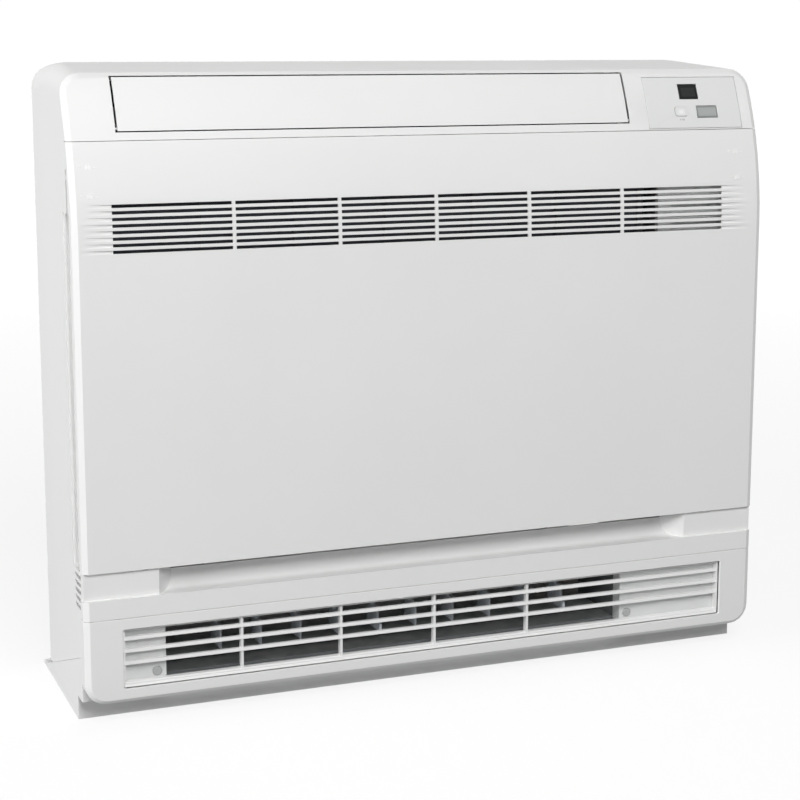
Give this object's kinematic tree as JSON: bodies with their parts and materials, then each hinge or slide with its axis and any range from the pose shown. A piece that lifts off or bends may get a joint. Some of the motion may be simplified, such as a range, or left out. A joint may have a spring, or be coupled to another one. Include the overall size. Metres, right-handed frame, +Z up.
{
  "type": "floor standing air conditioner",
  "caption": "Console air conditioner that stands on the floor against a wall, with an opening front panel, an upper louver and a lower outlet with swinging vanes.",
  "frame": {"origin": "middle of the footprint on the floor", "axes": "+X to the right when facing the front, +Y to the wall, +Z up"},
  "size_m": [0.7, 0.215, 0.6],
  "materials": {
    "white_plastic": "fine satin moulded ABS, near white",
    "grey_plastic": "satin moulded plastic, light grey-white",
    "mid_grey_plastic": "matt moulded plastic, mid grey",
    "dark_plastic": "matt moulded plastic, dark blue-black",
    "black_window": "polished smoked window, nearly black",
    "smoke_window": "satin grey infra-red window",
    "filter_mesh": "woven polypropylene net, dark",
    "fin_aluminium": "thin pressed fins, coated",
    "copper": "drawn copper tube, slightly dulled",
    "brass": "turned brass",
    "steel": "galvanised sheet steel",
    "circuit_board": "glass-fibre board with green lacquer"
  },
  "bodies": {
    "cabinet": {"base_pan": "white_plastic", "front_case": "white_plastic", "rear_case": "white_plastic", "lower_fascia": "white_plastic", "outlet_grille": "white_plastic", "outlet_plate_left": "grey_plastic", "outlet_plate_right": "grey_plastic", "screw_cap_left": "grey_plastic", "screw_cap_right": "grey_plastic", "control_panel": "grey_plastic", "display_window": "black_window", "receiver_window": "smoke_window", "display_board": "circuit_board", "lower_duct": "mid_grey_plastic", "louver_motor": "steel", "air_door_motor": "steel", "filter_frame": "grey_plastic", "filter_net": "filter_mesh", "coil_fins": "fin_aluminium", "coil_end_left": "copper", "coil_end_right": "copper", "drain_pan": "grey_plastic", "fan_partition": "dark_plastic", "fan_motor": "steel", "motor_bracket": "steel", "duct_wall_left": "dark_plastic", "duct_wall_right": "dark_plastic", "upper_nozzle": "dark_plastic", "electric_box": "grey_plastic", "electric_cover": "grey_plastic", "control_board": "circuit_board", "terminal_block": "dark_plastic", "cable_clamp": "dark_plastic", "gas_pipe": "copper", "liquid_pipe": "copper", "pipe_clip": "steel"},
    "front_panel": {"front_panel": "white_plastic"},
    "upper_louver": {"upper_louver": "white_plastic"},
    "latch_left": {"latch_left": "white_plastic"},
    "latch_right": {"latch_right": "white_plastic"},
    "power_key": {"power_key": "white_plastic"},
    "fan": {"fan_wheel": "dark_plastic", "motor_shaft": "steel", "fan_nut": "brass"},
    "air_door": {"lower_air_door": "mid_grey_plastic"},
    "outlet_switch": {"outlet_switch": "mid_grey_plastic"},
    "tie_bar_left": {"tie_bar_left": "grey_plastic"},
    "tie_bar_right": {"tie_bar_right": "grey_plastic"},
    "vane_01": {"vane_01": "grey_plastic"},
    "vane_02": {"vane_02": "grey_plastic"},
    "vane_03": {"vane_03": "grey_plastic"},
    "vane_04": {"vane_04": "grey_plastic"},
    "vane_05": {"vane_05": "grey_plastic"},
    "vane_06": {"vane_06": "grey_plastic"},
    "vane_07": {"vane_07": "grey_plastic"},
    "vane_08": {"vane_08": "grey_plastic"},
    "vane_09": {"vane_09": "grey_plastic"},
    "vane_10": {"vane_10": "grey_plastic"}
  },
  "joints": [
    {"name": "panel_hinge", "type": "hinge", "parent": "cabinet", "child": "front_panel", "pos_m": [0, -0.1049, 0.1472], "axis": [1, 0, 0], "range_deg": [0, 60]},
    {"name": "louver_hinge", "type": "hinge", "parent": "cabinet", "child": "upper_louver", "pos_m": [0, -0.0874, 0.5434], "axis": [1, 0, 0], "range_deg": [0, 75]},
    {"name": "latch_left_slide", "type": "slide", "parent": "cabinet", "child": "latch_left", "axis": [0, 0, 1], "range_m": [-0.028, 0]},
    {"name": "latch_right_slide", "type": "slide", "parent": "cabinet", "child": "latch_right", "axis": [0, 0, 1], "range_m": [-0.028, 0]},
    {"name": "power_key_press", "type": "slide", "parent": "cabinet", "child": "power_key", "axis": [0, 0.9399, -0.3415], "range_m": [0, 0.0012], "stiffness_N_per_m": 300},
    {"name": "fan_spin", "type": "hinge", "parent": "cabinet", "child": "fan", "pos_m": [-0.05, 0, 0.322], "axis": [0, 1, 0], "continuous": true},
    {"name": "air_door_hinge", "type": "hinge", "parent": "cabinet", "child": "air_door", "pos_m": [0, -0.02, 0.044], "axis": [1, 0, 0], "range_deg": [-78, 0]},
    {"name": "outlet_switch_slide", "type": "slide", "parent": "cabinet", "child": "outlet_switch", "axis": [1, 0, 0], "range_m": [0, 0.003]},
    {"name": "vane_01_swing", "type": "hinge", "parent": "cabinet", "child": "vane_01", "pos_m": [-0.21713, -0.079, 0.06], "axis": [0, 0, 1], "range_deg": [-30, 30]},
    {"name": "vane_02_swing", "type": "hinge", "parent": "cabinet", "child": "vane_02", "pos_m": [-0.17754, -0.079, 0.06], "axis": [0, 0, 1], "range_deg": [-30, 30]},
    {"name": "vane_03_swing", "type": "hinge", "parent": "cabinet", "child": "vane_03", "pos_m": [-0.13796, -0.079, 0.06], "axis": [0, 0, 1], "range_deg": [-30, 30]},
    {"name": "vane_04_swing", "type": "hinge", "parent": "cabinet", "child": "vane_04", "pos_m": [-0.09838, -0.079, 0.06], "axis": [0, 0, 1], "range_deg": [-30, 30]},
    {"name": "vane_05_swing", "type": "hinge", "parent": "cabinet", "child": "vane_05", "pos_m": [-0.05879, -0.079, 0.06], "axis": [0, 0, 1], "range_deg": [-30, 30]},
    {"name": "tie_bar_left_link", "type": "hinge", "parent": "vane_05", "child": "tie_bar_left", "pos_m": [-0.05879, -0.068, 0.0837], "axis": [0, 0, 1], "range_deg": [-30, 30]},
    {"name": "vane_06_swing", "type": "hinge", "parent": "cabinet", "child": "vane_06", "pos_m": [-0.01921, -0.079, 0.06], "axis": [0, 0, 1], "range_deg": [-30, 30]},
    {"name": "vane_07_swing", "type": "hinge", "parent": "cabinet", "child": "vane_07", "pos_m": [0.02038, -0.079, 0.06], "axis": [0, 0, 1], "range_deg": [-30, 30]},
    {"name": "vane_08_swing", "type": "hinge", "parent": "cabinet", "child": "vane_08", "pos_m": [0.05996, -0.079, 0.06], "axis": [0, 0, 1], "range_deg": [-30, 30]},
    {"name": "vane_09_swing", "type": "hinge", "parent": "cabinet", "child": "vane_09", "pos_m": [0.09954, -0.079, 0.06], "axis": [0, 0, 1], "range_deg": [-30, 30]},
    {"name": "vane_10_swing", "type": "hinge", "parent": "cabinet", "child": "vane_10", "pos_m": [0.13912, -0.079, 0.06], "axis": [0, 0, 1], "range_deg": [-30, 30]},
    {"name": "tie_bar_right_link", "type": "hinge", "parent": "vane_10", "child": "tie_bar_right", "pos_m": [0.13912, -0.068, 0.0837], "axis": [0, 0, 1], "range_deg": [-30, 30]}
  ],
  "couplings": [
    {"joint": "vane_01_swing", "follows": "vane_05_swing", "ratio": 1},
    {"joint": "vane_02_swing", "follows": "vane_05_swing", "ratio": 1},
    {"joint": "vane_03_swing", "follows": "vane_05_swing", "ratio": 1},
    {"joint": "vane_04_swing", "follows": "vane_05_swing", "ratio": 1},
    {"joint": "tie_bar_left_link", "follows": "vane_05_swing", "ratio": -1},
    {"joint": "vane_06_swing", "follows": "vane_10_swing", "ratio": 1},
    {"joint": "vane_07_swing", "follows": "vane_10_swing", "ratio": 1},
    {"joint": "vane_08_swing", "follows": "vane_10_swing", "ratio": 1},
    {"joint": "vane_09_swing", "follows": "vane_10_swing", "ratio": 1},
    {"joint": "tie_bar_right_link", "follows": "vane_10_swing", "ratio": -1}
  ]
}
